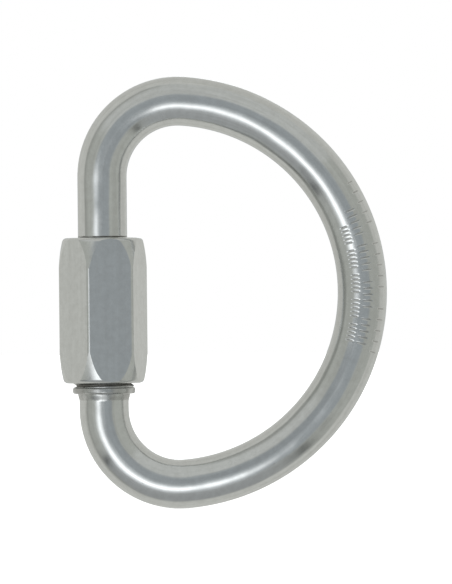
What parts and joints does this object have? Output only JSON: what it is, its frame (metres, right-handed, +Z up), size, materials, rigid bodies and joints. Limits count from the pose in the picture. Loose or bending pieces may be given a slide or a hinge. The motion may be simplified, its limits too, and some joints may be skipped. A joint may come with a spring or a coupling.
{
  "type": "half-moon screw link",
  "caption": "Half-moon screw link: a round steel rod bent to a D, with a threaded gap in its straight side closed by a long hexagonal sleeve nut.",
  "frame": {"origin": "centre of the overall box at rest, which is also the link's mid-height", "axes": "+Z up along the thread axis, towards the end that the nut opens to; +X from the threaded side to the crown of the D; -Y is the front"},
  "size_m": [0.0668, 0.0174, 0.088],
  "materials": {
    "plated_rod": "bright zinc plate over bent steel rod",
    "plated_nut": "bright zinc plate over hexagonal steel bar"
  },
  "bodies": {
    "link": {"link_body": "plated_rod"},
    "nut_carrier": {"nut_relief_band": "plated_nut"},
    "nut": {"sleeve_nut": "plated_nut"}
  },
  "joints": [
    {"name": "nut_travel", "type": "slide", "parent": "link", "child": "nut_carrier", "axis": [0, 0, 1], "range_m": [-0.00151, 0.01741]},
    {"name": "nut_turn", "type": "hinge", "parent": "nut_carrier", "child": "nut", "pos_m": [-0.02444, 0, -0.0035], "axis": [0, 0, 1], "range_deg": [-540, 6264]}
  ],
  "couplings": [
    {"joint": "nut_travel", "follows": "nut_turn", "m_per_rad": 0.00015915}
  ]
}
